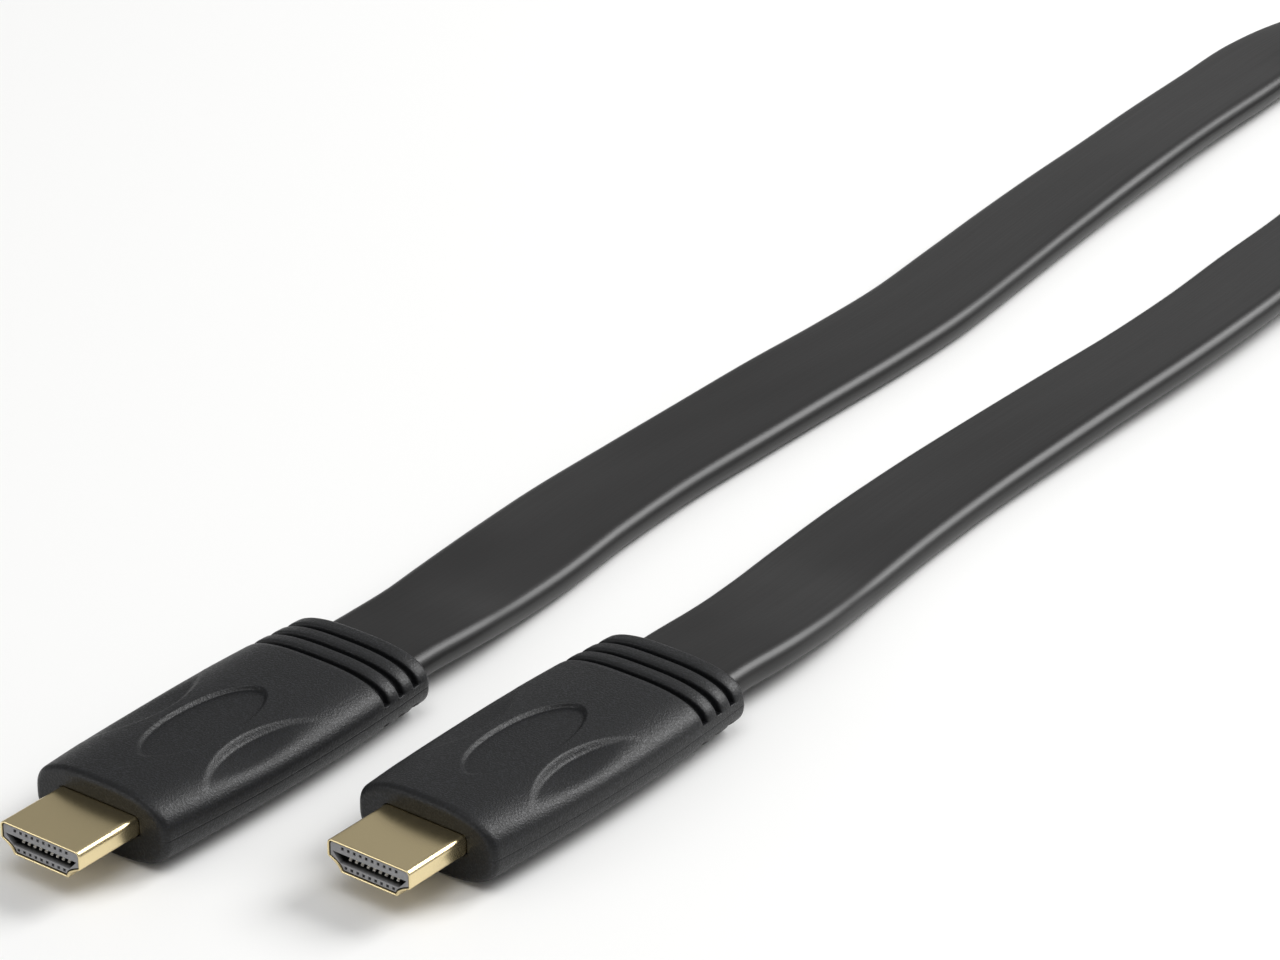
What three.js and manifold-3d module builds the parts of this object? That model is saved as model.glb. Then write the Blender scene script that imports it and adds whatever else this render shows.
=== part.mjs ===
// A flat video cable: two moulded plugs on one flat cord, lying on a surface.
// Millimetres, +Z up. The noses point to -Y and the cords run to +Y. The surface is z = 0.
import * as THREE from 'three';
import { mergeVertices } from 'three/addons/utils/BufferGeometryUtils.js';
import Module from 'manifold-3d';

const wasm = await Module();
wasm.setup();

// Plug shell: the pressed metal nose, as its section and how far it stands out.
const shellWidth = 13.9;
const shellHeight = 4.45;
const shellReach = 11.2;
const shellWall = 0.3;
const shellCorner = 0.8;
const shellSideHeight = 2.6;
const shellFootWidth = 9.6;
const shellSeatDepth = 3.0;
const shellLeastBend = 0.2;
const shellFootSwell = 0.1;
const shellSideLift = 0.4;

// Insulator: the block inside the shell, with its slot and the small square openings of its face.
const slotTopWidth = 12.4;
const slotFootWidth = 9.8;
const slotHeight = 1.4;
const slotAboveMiddle = 0.5;
const slotDepth = 8.2;
const insulatorRecess = 0.2;
const holeSize = 0.45;
const holeDepth = 0.8;
const upperHoleHeight = 1.3;
const lowerHoleHeight = -1.4;

// Contacts: 10 above and 9 below, half a pitch apart.
const upperContacts = 10;
const lowerContacts = 9;
const contactPitch = 1.0;
const contactWidth = 0.45;
const contactThickness = 0.18;
const contactBow = 0.42;
const contactTipSetback = 0.9;
const contactNoseLength = 0.6;
const contactCrestLength = 0.7;
const contactSlopeLength = 1.9;
const contactRestHeight = 0.05;

// Cover: the moulded grip, bowed outward at its sides and lower at the cord end.
const coverWidth = 23.1;
const coverRearWidth = 24.0;
const coverSideBow = 1.2;
const coverHeight = 10.8;
const coverRearHeight = 9.2;
const coverLength = 53.2;
const coverRoundness = 2.75;
const coverEdgeRound = 1.0;
const coverSides = 36;
const coverSteps = 10;

// Grip grooves round the cord end of the cover.
const grooveCount = 3;
const grooveFirst = 43.4;
const groovePitch = 3.25;
const grooveWidth = 1.1;
const grooveDepth = 1.1;
const upperGrooveEnd = 1.2;
const lowerGrooveEnd = -1.7;

// Oval recess on the cover's top, left bare.
const recessCentre = 20.4;
const recessLength = 23.0;
const recessWidth = 9.6;
const recessDepth = 0.4;

// Finger scallops beside the recess, above and below.
const scallopCentre = 20.3;
const scallopLength = 22.0;
const scallopNearest = 6.3;
const scallopBow = 3.5;
const scallopDepth = 0.85;
const scallopTilt = 7.2;

// Clearances between neighbouring pieces.
const insulatorGap = 0.15;
const seatGap = 0.2;
const contactGap = 0.15;
const endGap = 0.3;

// Where the second plug lies beside the first, measured at the middle of the cover's front.
const secondPlugAside = 36.8;
const secondPlugBehind = 21.7;
const secondPlugYaw = -0.6;

// Flat cord.
const cordWidth = 18.0;
const cordThickness = 4.3;
const cordStraight = 6.0;
const cordStepLength = 9.5;
const cordEdgeSides = 5;

// Routes of the two runs from the plugs: x, y, height of the middle, and roll in degrees, where
// a positive roll lowers the right-hand edge. They start at the plug and end against the coil.
const runARoute = [
  [0.0, 68.0, 4.3, 2],
  [-0.8, 77.0, 3.8, 6],
  [-1.9, 90.0, 3.4, 8.5],
  [-3.6, 106.0, 2.9, 5.5],
  [-4.4, 123.0, 2.5, 2.5],
  [-4.2, 140.0, 2.5, 2.8],
  [-3.8, 158.0, 2.6, 3.4],
  [-3.4, 175.0, 2.5, 2.4],
  [-3.6, 192.0, 2.4, 1.2],
  [-5.1, 209.0, 2.3, 0.6],
  [-6.8, 227.0, 2.3, -0.8],
  [-8.0, 244.0, 2.5, -2.8],
  [-8.8, 261.0, 2.8, -5],
  [-9.8, 278.0, 2.8, -5],
  [-10.5, 296.0, 2.7, -4.4],
  [-11.0, 312.0, 2.8, -5],
  [-8.6, 327.0, 4.2, -16],
  [-2.9, 341.0, 6.4, -36],
  [5.4, 354.0, 8.1, -58],
  [14.0, 366.5, 8.9, -77],
  [20.6, 378.0, 9.1, -89],
  [24.2, 387.5, 9.1, -90],
];
const runBRoute = [
  [37.7, 90.0, 4.3, 1],
  [37.0, 100.0, 3.7, 2.5],
  [35.4, 112.0, 2.8, 3.4],
  [34.0, 129.0, 2.5, 1.8],
  [33.3, 147.0, 2.3, -0.5],
  [33.6, 165.0, 2.5, -2.6],
  [34.2, 183.0, 2.8, -4.8],
  [34.8, 201.0, 3.0, -6.8],
  [34.7, 219.0, 3.1, -7.6],
  [33.9, 236.0, 3.1, -7],
  [33.2, 254.0, 2.8, -5],
  [32.5, 271.0, 2.6, 3],
  [32.0, 287.0, 4.6, 20],
  [31.4, 302.0, 7.1, 44],
  [31.4, 317.0, 8.6, 68],
  [31.6, 332.0, 9.1, 84],
  [32.0, 346.0, 9.1, 90],
  [32.4, 357.0, 9.1, 90],
  [32.9, 366.2, 9.1, 90],
];

// Strap round the coil: a flat band that stands across the wound turns at one place. Its angle and
// radius are counted from the point that the turns are wound about.
const strapThickness = 1.0;
const strapWidth = 12.0;
const strapCornerRound = 2.0;
const strapReach = 20.6;
const strapMiddleRadius = 65.4;
const strapAngle = 172.0;

// Coil: both runs are wound together on edge, so it is as high as the cord is wide, on top of the strap.
const coilRadius = 71.6;
const coilMiddle = [96.6, 403.6];
const windingAside = 3.4;
const windingBehind = -3.6;
const coilHeight = cordWidth + strapThickness + endGap;
const coilEdgeRound = 1.0;
const coilSides = 48;

// Sides of the round cutting bodies, how far a cut passes the skin, and when corners count as one.
const recessSides = 28;
const wallSides = 64;
const dishSides = 128;
const bendSides = 4;
const cutOverrun = 1.0;
const weldDistance = 1e-4;

// Materials.
const coverPlastic = new THREE.MeshStandardMaterial({ color: '#2b2c2f', roughness: 0.55, metalness: 0 });
const cordPlastic = new THREE.MeshStandardMaterial({ color: '#3a3939', roughness: 0.42, metalness: 0 });
const goldPlate = new THREE.MeshStandardMaterial({ color: '#b8a26a', roughness: 0.3, metalness: 1 });
const greyPlastic = new THREE.MeshStandardMaterial({ color: '#8e8e8e', roughness: 0.6, metalness: 0 });
const contactPlate = new THREE.MeshStandardMaterial({ color: '#d9d6cc', roughness: 0.3, metalness: 1 });
const strapFabric = new THREE.MeshStandardMaterial({ color: '#26262a', roughness: 0.9, metalness: 0 });

// Each plug lies on its cover's flat underside, so its axis falls a little towards the cord.
const restTilt = Math.atan((coverHeight - coverRearHeight) / 2 / coverLength);
const axisHeight = (coverHeight / 2) * Math.cos(restTilt);

// A closed geometry as a solid for joining and cutting.
function toSolid(geometry) {
  const bare = geometry.clone();
  bare.deleteAttribute('normal');
  bare.deleteAttribute('uv');
  const merged = mergeVertices(bare, weldDistance);
  const vertProperties = new Float32Array(merged.attributes.position.array);
  const triVerts = new Uint32Array(merged.index.array);
  return new wasm.Manifold(new wasm.Mesh({ numProp: 3, vertProperties, triVerts }));
}

function toGeometry(solid) {
  const mesh = solid.getMesh();
  const geometry = new THREE.BufferGeometry();
  geometry.setAttribute('position', new THREE.BufferAttribute(mesh.vertProperties, 3));
  geometry.setIndex(new THREE.BufferAttribute(mesh.triVerts, 1));
  geometry.computeVertexNormals();
  return geometry;
}

function namedMesh(name, geometry, material) {
  const mesh = new THREE.Mesh(geometry, material);
  mesh.name = name;
  return mesh;
}

// A flat outline in X and Z, carried along Y from yFront to yRear.
function extrudeAlongY(shape, yFront, yRear, options = {}) {
  const geometry = new THREE.ExtrudeGeometry(shape, {
    depth: yRear - yFront,
    steps: 1,
    bevelEnabled: false,
    curveSegments: bendSides,
    ...options,
  });
  geometry.rotateX(Math.PI / 2);
  geometry.translate(0, yRear, 0);
  return geometry;
}

function boxBetween(low, high) {
  const geometry = new THREE.BoxGeometry(high[0] - low[0], high[1] - low[1], high[2] - low[2]);
  geometry.translate((low[0] + high[0]) / 2, (low[1] + high[1]) / 2, (low[2] + high[2]) / 2);
  return geometry;
}

// The shell's section, moved inward by inset: round upper corners, upright sides, a narrower foot.
function shellOutline(inset) {
  const half = shellWidth / 2 - inset;
  const top = shellHeight / 2 - inset;
  const round = Math.max(shellCorner - inset, shellLeastBend);
  const sideEnd = shellHeight / 2 - shellSideHeight + inset * shellSideLift;
  const foot = shellFootWidth / 2 - inset;
  const ledge = (sideEnd - top) / 2;
  const shape = new THREE.Shape();
  shape.moveTo(-foot, -top);
  shape.lineTo(foot, -top);
  shape.quadraticCurveTo(foot + shellFootSwell, ledge, half, sideEnd);
  shape.lineTo(half, top - round);
  shape.absarc(half - round, top - round, round, 0, Math.PI / 2, false);
  shape.lineTo(-half + round, top);
  shape.absarc(-half + round, top - round, round, Math.PI / 2, Math.PI, false);
  shape.lineTo(-half, sideEnd);
  shape.quadraticCurveTo(-foot - shellFootSwell, ledge, -foot, -top);
  return shape;
}

// The cover's section is a rounded box: |x/a|^n + |z/b|^n = 1, with every side moved inward by inset.
function coverOutline(inset) {
  const points = [];
  for (let i = 0; i < coverSides; i += 1) {
    const angle = (2 * Math.PI * i) / coverSides;
    const across = Math.cos(angle);
    const up = Math.sin(angle);
    const x = Math.sign(across) * Math.abs(across) ** (2 / coverRoundness);
    const z = Math.sign(up) * Math.abs(up) ** (2 / coverRoundness);
    points.push(new THREE.Vector2(x * (coverWidth / 2 - inset), z * (coverHeight / 2 - inset)));
  }
  return new THREE.Shape(points);
}

// The cover's half width, bowed outward between its ends.
function halfWidthAt(y) {
  const share = THREE.MathUtils.clamp(y / coverLength, 0, 1);
  const even = coverWidth / 2 + (share * (coverRearWidth - coverWidth)) / 2;
  return even + coverSideBow * 4 * share * (1 - share);
}

// The cover's half height, falling evenly towards the cord end.
function halfHeightAt(y) {
  return coverHeight / 2 + ((y / coverLength) * (coverRearHeight - coverHeight)) / 2;
}

// Gives a straight body, made from the outline at an inset, the cover's bowed sides and falling height.
function followCover(geometry, inset) {
  const position = geometry.attributes.position;
  for (let i = 0; i < position.count; i += 1) {
    const y = position.getY(i);
    const wider = (halfWidthAt(y) - inset) / (coverWidth / 2 - inset);
    const higher = (halfHeightAt(y) - inset) / (coverHeight / 2 - inset);
    position.setX(i, position.getX(i) * wider);
    position.setZ(i, position.getZ(i) * higher);
  }
  return geometry;
}

// What lies deeper than a depth below the cover's skin.
function coverCore(depth) {
  const yRear = coverLength + cutOverrun;
  const core = extrudeAlongY(coverOutline(depth), -cutOverrun, yRear, { steps: coverSteps });
  return toSolid(followCover(core, depth));
}

function buildCover() {
  const body = extrudeAlongY(coverOutline(0), coverEdgeRound, coverLength - coverEdgeRound, {
    steps: coverSteps,
    bevelEnabled: true,
    bevelThickness: coverEdgeRound,
    bevelSize: coverEdgeRound,
    bevelOffset: -coverEdgeRound,
    bevelSegments: 2,
  });
  let cover = toSolid(followCover(body, 0));

  const grooveCore = coverCore(grooveDepth);
  const outside = coverWidth;
  for (let i = 0; i < grooveCount; i += 1) {
    const front = grooveFirst + i * groovePitch - grooveWidth / 2;
    const rear = front + grooveWidth;
    const above = boxBetween([-outside, front, upperGrooveEnd], [outside, rear, outside]);
    const below = boxBetween([-outside, front, -outside], [outside, rear, lowerGrooveEnd]);
    cover = cover.subtract(toSolid(above).add(toSolid(below)).subtract(grooveCore));
  }

  const oval = new THREE.CylinderGeometry(1, 1, coverHeight, recessSides);
  oval.rotateX(Math.PI / 2);
  oval.scale(recessWidth / 2, recessLength / 2, 1);
  oval.translate(0, recessCentre, coverHeight / 2);
  cover = cover.subtract(toSolid(oval).subtract(coverCore(recessDepth)));

  for (const scallop of buildScallops()) {
    cover = cover.subtract(scallop);
  }

  const pocket = extrudeAlongY(shellOutline(-seatGap), -cutOverrun, shellSeatDepth + seatGap);
  return toGeometry(cover.subtract(toSolid(pocket)));
}

// Each scallop is a dish of large radius that stops at an upright round wall.
function buildScallops() {
  const wallRadius = ((scallopLength / 2) ** 2 + scallopBow ** 2) / (2 * scallopBow);
  const dishRadius = (scallopLength / 2) ** 2 / (2 * scallopDepth);
  const nearestShare = scallopNearest / halfWidthAt(scallopCentre);
  const crown = (1 - nearestShare ** coverRoundness) ** (1 / coverRoundness);
  const dishFloor = halfHeightAt(scallopCentre) * crown - scallopDepth;
  const scallops = [];
  for (const side of [-1, 1]) {
    for (const face of [-1, 1]) {
      const wall = new THREE.CylinderGeometry(wallRadius, wallRadius, coverHeight, wallSides);
      wall.rotateX(Math.PI / 2);
      wall.translate(side * (scallopNearest + wallRadius), scallopCentre, (face * coverHeight) / 2);
      const dish = new THREE.CylinderGeometry(dishRadius, dishRadius, 2 * coverWidth, dishSides);
      dish.rotateZ(Math.PI / 2);
      dish.translate(0, 0, dishRadius);
      dish.rotateY(THREE.MathUtils.degToRad(scallopTilt));
      dish.scale(side, 1, 1);
      dish.translate(side * scallopNearest, scallopCentre, dishFloor);
      dish.scale(1, 1, face);
      scallops.push(toSolid(outward(wall)).intersect(toSolid(outward(dish))));
    }
  }
  return scallops;
}

// A mirrored geometry has its triangles turned over, so that they face outward again.
function outward(geometry) {
  const solid = geometry.toNonIndexed();
  const position = solid.attributes.position;
  const a = new THREE.Vector3();
  const b = new THREE.Vector3();
  const c = new THREE.Vector3();
  let volume = 0;
  for (let i = 0; i < position.count; i += 3) {
    a.fromBufferAttribute(position, i);
    b.fromBufferAttribute(position, i + 1);
    c.fromBufferAttribute(position, i + 2);
    volume += a.dot(b.cross(c));
  }
  if (volume < 0) {
    for (let i = 0; i < position.count; i += 3) {
      b.fromBufferAttribute(position, i + 1);
      c.fromBufferAttribute(position, i + 2);
      position.setXYZ(i + 1, c.x, c.y, c.z);
      position.setXYZ(i + 2, b.x, b.y, b.z);
    }
  }
  solid.deleteAttribute('normal');
  solid.deleteAttribute('uv');
  return mergeVertices(solid, weldDistance);
}

function buildShell() {
  const ring = shellOutline(0);
  ring.holes.push(new THREE.Path(shellOutline(shellWall).getPoints(bendSides)));
  return extrudeAlongY(ring, -shellReach, shellSeatDepth);
}

function rowPlaces(count) {
  return Array.from({ length: count }, (_, i) => (i - (count - 1) / 2) * contactPitch);
}

function buildInsulator() {
  const face = -shellReach + insulatorRecess;
  let block = toSolid(extrudeAlongY(shellOutline(shellWall + insulatorGap), face, shellSeatDepth));
  const slot = new THREE.Shape([
    new THREE.Vector2(-slotTopWidth / 2, slotAboveMiddle),
    new THREE.Vector2(-slotFootWidth / 2, slotAboveMiddle - slotHeight),
    new THREE.Vector2(slotFootWidth / 2, slotAboveMiddle - slotHeight),
    new THREE.Vector2(slotTopWidth / 2, slotAboveMiddle),
  ]);
  block = block.subtract(toSolid(extrudeAlongY(slot, face - cutOverrun, face + slotDepth)));
  const rows = [[upperContacts, upperHoleHeight], [lowerContacts, lowerHoleHeight]];
  const half = holeSize / 2;
  for (const [count, height] of rows) {
    for (const x of rowPlaces(count)) {
      const low = [x - half, face - cutOverrun, height - half];
      const high = [x + half, face + holeDepth, height + half];
      block = block.subtract(toSolid(boxBetween(low, high)));
    }
  }
  return toGeometry(block);
}

// A spring contact, seen from the side: flat along the slot's wall, bowed into the slot near its tip.
function buildContact(x, wallHeight, away) {
  const tip = -shellReach + insulatorRecess + contactTipSetback;
  const rear = -shellReach + insulatorRecess + slotDepth - contactGap;
  const low = wallHeight + away * contactGap;
  const crest = tip + contactNoseLength;
  const slope = crest + contactCrestLength;
  const rest = slope + contactSlopeLength;
  const spine = [
    [tip, 0],
    [crest, contactBow],
    [slope, contactBow],
    [rest, contactRestHeight],
    [rear, contactRestHeight],
  ];
  const under = spine.map(([y, rise]) => new THREE.Vector2(y, low + away * rise));
  const over = spine.map(([y, rise]) => new THREE.Vector2(y, low + away * (rise + contactThickness)));
  const side = new THREE.Shape([...under, ...over.reverse()]);
  const geometry = new THREE.ExtrudeGeometry(side, { depth: contactWidth, bevelEnabled: false });
  geometry.rotateY(Math.PI / 2);
  geometry.rotateX(Math.PI / 2);
  geometry.translate(x - contactWidth / 2, 0, 0);
  return geometry;
}

function buildPlug(prefix) {
  const plug = new THREE.Group();
  plug.add(namedMesh(`${prefix}_cover`, buildCover(), coverPlastic));
  plug.add(namedMesh(`${prefix}_shell`, buildShell(), goldPlate));
  plug.add(namedMesh(`${prefix}_insulator`, buildInsulator(), greyPlastic));
  const rows = [[upperContacts, slotAboveMiddle, -1], [lowerContacts, slotAboveMiddle - slotHeight, 1]];
  let number = 0;
  for (const [count, wallHeight, away] of rows) {
    for (const x of rowPlaces(count)) {
      number += 1;
      const name = `${prefix}_contact_${String(number).padStart(2, '0')}`;
      plug.add(namedMesh(name, buildContact(x, wallHeight, away), contactPlate));
    }
  }
  return plug;
}

// A flat cord's line, whose section leans by a roll given with each point.
class FlatCordCurve extends THREE.CatmullRomCurve3 {
  constructor(route) {
    super(route.map(([x, y, z]) => new THREE.Vector3(x, y, z)), false, 'catmullrom', 0.5);
    const rolls = route.map((point) => new THREE.Vector3(THREE.MathUtils.degToRad(point[3]), 0, 0));
    this.rollCurve = new THREE.CatmullRomCurve3(rolls, false, 'catmullrom', 0.5);
  }

  computeFrenetFrames(segments) {
    const frames = { tangents: [], normals: [], binormals: [] };
    const up = new THREE.Vector3(0, 0, 1);
    for (let i = 0; i <= segments; i += 1) {
      const share = this.getUtoTmapping(i / segments);
      const tangent = this.getTangent(share);
      const right = new THREE.Vector3().crossVectors(tangent, up).normalize();
      right.applyAxisAngle(tangent, this.rollCurve.getPoint(share).x);
      frames.tangents.push(tangent);
      frames.normals.push(right);
      frames.binormals.push(new THREE.Vector3().crossVectors(tangent, right));
    }
    return frames;
  }
}

// The cord's section: flat, with half-round edges.
function cordOutline() {
  const points = [];
  const edgeMiddle = (cordWidth - cordThickness) / 2;
  for (const side of [1, -1]) {
    for (let i = 0; i <= cordEdgeSides; i += 1) {
      const angle = side * Math.PI * (i / cordEdgeSides - 1 / 2);
      const across = Math.cos(angle) * (cordThickness / 2);
      const up = Math.sin(angle) * (cordThickness / 2);
      points.push(new THREE.Vector2(side * (edgeMiddle + across), up));
    }
  }
  return new THREE.Shape(points);
}

function buildRun(plug, route) {
  plug.updateMatrixWorld(true);
  const exits = [0, cordStraight / 2, cordStraight].map((reach) => {
    const point = new THREE.Vector3(0, coverLength + endGap + reach, 0).applyMatrix4(plug.matrixWorld);
    return [point.x, point.y, point.z, 0];
  });
  const curve = new FlatCordCurve([...exits, ...route]);
  const steps = Math.round(curve.getLength() / cordStepLength);
  return new THREE.ExtrudeGeometry(cordOutline(), { steps, extrudePath: curve, bevelEnabled: false });
}

// The strap's ring, as the outline between its outer and inner faces, grown by a clearance.
function strapRing(clearance) {
  const halfReach = strapReach / 2 + strapThickness + clearance;
  const top = coilHeight + endGap + strapThickness + clearance;
  const outer = roundedBox(-halfReach, halfReach, -clearance, top, strapCornerRound);
  const inset = strapThickness + 2 * clearance;
  const innerRound = strapCornerRound - strapThickness;
  const innerReach = halfReach - inset;
  const inner = roundedBox(-innerReach, innerReach, inset - clearance, top - inset, innerRound);
  outer.holes.push(new THREE.Path(inner.getPoints(bendSides)));
  const halfWidth = strapWidth / 2 + clearance;
  const ring = extrudeAlongY(outer, -halfWidth, halfWidth);
  ring.translate(strapMiddleRadius, 0, 0);
  ring.rotateZ(THREE.MathUtils.degToRad(strapAngle));
  ring.translate(coilMiddle[0] + windingAside, coilMiddle[1] + windingBehind, 0);
  return ring;
}

function roundedBox(left, right, low, high, round) {
  const shape = new THREE.Shape();
  shape.moveTo(left + round, low);
  shape.lineTo(right - round, low);
  shape.absarc(right - round, low + round, round, -Math.PI / 2, 0, false);
  shape.lineTo(right, high - round);
  shape.absarc(right - round, high - round, round, 0, Math.PI / 2, false);
  shape.lineTo(left + round, high);
  shape.absarc(left + round, high - round, round, Math.PI / 2, Math.PI, false);
  shape.lineTo(left, low + round);
  shape.absarc(left + round, low + round, round, Math.PI, Math.PI * 1.5, false);
  return shape;
}

function buildCoil() {
  const profile = [
    new THREE.Vector2(0, 0),
    new THREE.Vector2(coilRadius - coilEdgeRound, 0),
    new THREE.Vector2(coilRadius, coilEdgeRound),
    new THREE.Vector2(coilRadius, coilHeight - coilEdgeRound),
    new THREE.Vector2(coilRadius - coilEdgeRound, coilHeight),
    new THREE.Vector2(0, coilHeight),
  ];
  const turned = new THREE.LatheGeometry(profile, coilSides);
  turned.rotateX(Math.PI / 2);
  turned.translate(coilMiddle[0], coilMiddle[1], 0);
  return toGeometry(toSolid(outward(turned)).subtract(toSolid(strapRing(endGap))));
}

const plugA = buildPlug('plug_a');
plugA.position.set(0, 0, axisHeight);
plugA.rotation.set(-restTilt, 0, 0, 'ZXY');
const plugB = buildPlug('plug_b');
plugB.position.set(secondPlugAside, secondPlugBehind, axisHeight);
plugB.rotation.set(-restTilt, 0, THREE.MathUtils.degToRad(secondPlugYaw), 'ZXY');

const cable = new THREE.Group();
cable.add(plugA, plugB);
const plugBox = new THREE.Box3().setFromObject(cable, true);
cable.add(namedMesh('cord_run_a', buildRun(plugA, runARoute), cordPlastic));
cable.add(namedMesh('cord_run_b', buildRun(plugB, runBRoute), cordPlastic));
cable.add(namedMesh('cord_coil', buildCoil(), cordPlastic));
cable.add(namedMesh('coil_tie', strapRing(0), strapFabric));

// The origin is on the surface, under the middle of the two plugs.
const middle = plugBox.getCenter(new THREE.Vector3());
cable.position.set(-middle.x, -middle.y, 0);

const object = new THREE.Group();
object.add(cable);

export default object;
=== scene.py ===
import math
import bpy
import numpy as np
from mathutils import Matrix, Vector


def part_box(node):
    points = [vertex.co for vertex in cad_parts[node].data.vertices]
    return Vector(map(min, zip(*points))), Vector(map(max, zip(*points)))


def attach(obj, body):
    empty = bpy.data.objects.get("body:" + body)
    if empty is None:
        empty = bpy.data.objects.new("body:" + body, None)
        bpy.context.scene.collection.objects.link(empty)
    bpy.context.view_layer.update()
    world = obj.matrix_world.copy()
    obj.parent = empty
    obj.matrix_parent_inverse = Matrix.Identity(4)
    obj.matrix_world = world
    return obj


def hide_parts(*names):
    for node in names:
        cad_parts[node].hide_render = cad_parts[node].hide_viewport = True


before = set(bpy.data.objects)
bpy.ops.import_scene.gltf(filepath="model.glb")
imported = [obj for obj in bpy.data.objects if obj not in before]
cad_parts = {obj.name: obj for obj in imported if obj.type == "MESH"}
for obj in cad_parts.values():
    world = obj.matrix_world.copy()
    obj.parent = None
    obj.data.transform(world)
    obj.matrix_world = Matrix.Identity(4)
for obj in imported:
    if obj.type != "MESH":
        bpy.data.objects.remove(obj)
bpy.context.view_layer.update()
mm = 0.001

# Measures of the plugs are in millimetres, in each plug's own frame: x across, y from the
# middle of the cover's front towards the cord, z up from the plug's axis.
plugLayout = {
    "axisHeight": 5.3994,
    "restTilt": 0.8615,
    "secondAside": 36.8,
    "secondBehind": 21.7,
    "secondYaw": -0.6,
    "frontY": -31.898,
}
coverLow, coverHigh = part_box("plug_a_cover")
plugAOrigin = np.array([(coverLow.x + coverHigh.x) / 2, plugLayout["frontY"] * mm, 0.0])


# Small tools

def toRow(points):
    # from millimetres beside the first plug to metres in the row's frame
    return np.asarray(points, float) * mm + plugAOrigin


def plugPlace(second):
    # a function that carries points of a plug's own frame to millimetres beside the first plug:
    # the plug tilts to lie on its underside, and then turns about the upright
    yaw = math.radians(plugLayout["secondYaw"]) if second else 0.0
    tilt = math.radians(plugLayout["restTilt"])
    lie = np.array([[1, 0, 0], [0, math.cos(tilt), math.sin(tilt)], [0, -math.sin(tilt), math.cos(tilt)]])
    turn = np.array([[math.cos(yaw), -math.sin(yaw), 0], [math.sin(yaw), math.cos(yaw), 0], [0, 0, 1]])
    turn = turn @ lie
    aside = plugLayout["secondAside"] if second else 0.0
    behind = plugLayout["secondBehind"] if second else 0.0
    shift = np.array([aside, behind, plugLayout["axisHeight"]])
    return lambda points: np.asarray(points, float) @ turn.T + shift


def smoothStep(low, high, values):
    # 0 below low, 1 above high, and 3t^2 - 2t^3 between them
    t = np.clip((values - low) / (high - low), 0, 1)
    return t * t * (3 - 2 * t)


def bentWave(wave, power):
    # sign(w) |w|^power, which carries a circle's cosine or sine over to a rounded oblong
    return np.sign(wave) * np.abs(wave) ** power


def rolledSum(values, reach):
    # a closed line smoothed by a bell of the given reach in samples
    kernel = np.exp(-0.5 * (np.arange(-3 * reach, 3 * reach + 1) / reach) ** 2)
    kernel /= kernel.sum()
    padded = np.concatenate([values[-3 * reach:], values, values[:3 * reach]])
    return np.stack([np.convolve(padded[:, k], kernel, "valid") for k in range(values.shape[1])], 1)


def evenAlong(line, count):
    # a closed line resampled at equal distances along it
    closed = np.vstack([line, line[:1]])
    walked = np.concatenate([[0], np.cumsum(np.linalg.norm(np.diff(closed, axis=0), axis=1))])
    places = np.linspace(0, walked[-1], count, endpoint=False)
    return np.stack([np.interp(places, walked, closed[:, k]) for k in range(line.shape[1])], 1)


def surfaceMesh(name, points, flow=None, closedAlong=False):
    # rows of points, each row a closed ring, joined by four-sided faces; the first and last
    # rings are closed by a fan unless the rows join up. flow holds metres along and across.
    rows, columns = points.shape[:2]
    vertices = points.reshape(-1, 3)
    i = np.arange(rows if closedAlong else rows - 1)[:, None]
    j = np.arange(columns)[None, :]
    nextRow = (i + 1) % rows
    nextColumn = (j + 1) % columns
    quads = np.stack([i * columns + j, i * columns + nextColumn,
                      nextRow * columns + nextColumn, nextRow * columns + j], -1).reshape(-1, 4)
    corners = points.reshape(-1, 3)[quads] - points.mean((0, 1))
    volume = np.einsum("ij,ij->i", corners[:, 0], np.cross(corners[:, 1], corners[:, 2])).sum()
    volume += np.einsum("ij,ij->i", corners[:, 0], np.cross(corners[:, 2], corners[:, 3])).sum()
    uvRows = np.stack([i + 0 * j, i + 0 * j, i + 1 + 0 * j, i + 1 + 0 * j], -1).reshape(-1, 4)
    uvColumns = np.stack([j + 0 * i, j + 1 + 0 * i, j + 1 + 0 * i, j + 0 * i], -1).reshape(-1, 4)
    fans = np.zeros((0, 3), int)
    if not closedAlong:
        vertices = np.vstack([vertices, points[0].mean(0), points[-1].mean(0)])
        ring = np.arange(columns)
        after = (ring + 1) % columns
        lastRing = (rows - 1) * columns
        first = np.stack([after, ring, np.full(columns, rows * columns)], 1)
        last = np.stack([lastRing + ring, lastRing + after, np.full(columns, rows * columns + 1)], 1)
        fans = np.vstack([first, last])
    if volume < 0:
        quads, fans = quads[:, ::-1], fans[:, ::-1]
        uvRows, uvColumns = uvRows[:, ::-1], uvColumns[:, ::-1]
    mesh = bpy.data.meshes.new(name)
    mesh.from_pydata(vertices.tolist(), [], quads.tolist() + fans.tolist())
    mesh.shade_smooth()
    if flow is not None:
        along, across = flow
        layer = mesh.uv_layers.new(name="flow")
        values = np.zeros((len(mesh.loops), 2))
        values[:quads.size, 0] = along[uvRows.ravel()]
        values[:quads.size, 1] = across[uvColumns.ravel()]
        layer.data.foreach_set("uv", values.ravel())
    mesh.update()
    piece = bpy.data.objects.new(name, mesh)
    bpy.context.scene.collection.objects.link(piece)
    return piece


def linear(hexText):
    # an sRGB hex colour as linear red, green, blue and alpha
    parts = np.array([int(hexText[k:k + 2], 16) for k in (1, 3, 5)]) / 255
    low, high = parts / 12.92, ((parts + 0.055) / 1.055) ** 2.4
    return [*np.where(parts <= 0.04045, low, high).tolist(), 1.0]


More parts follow.
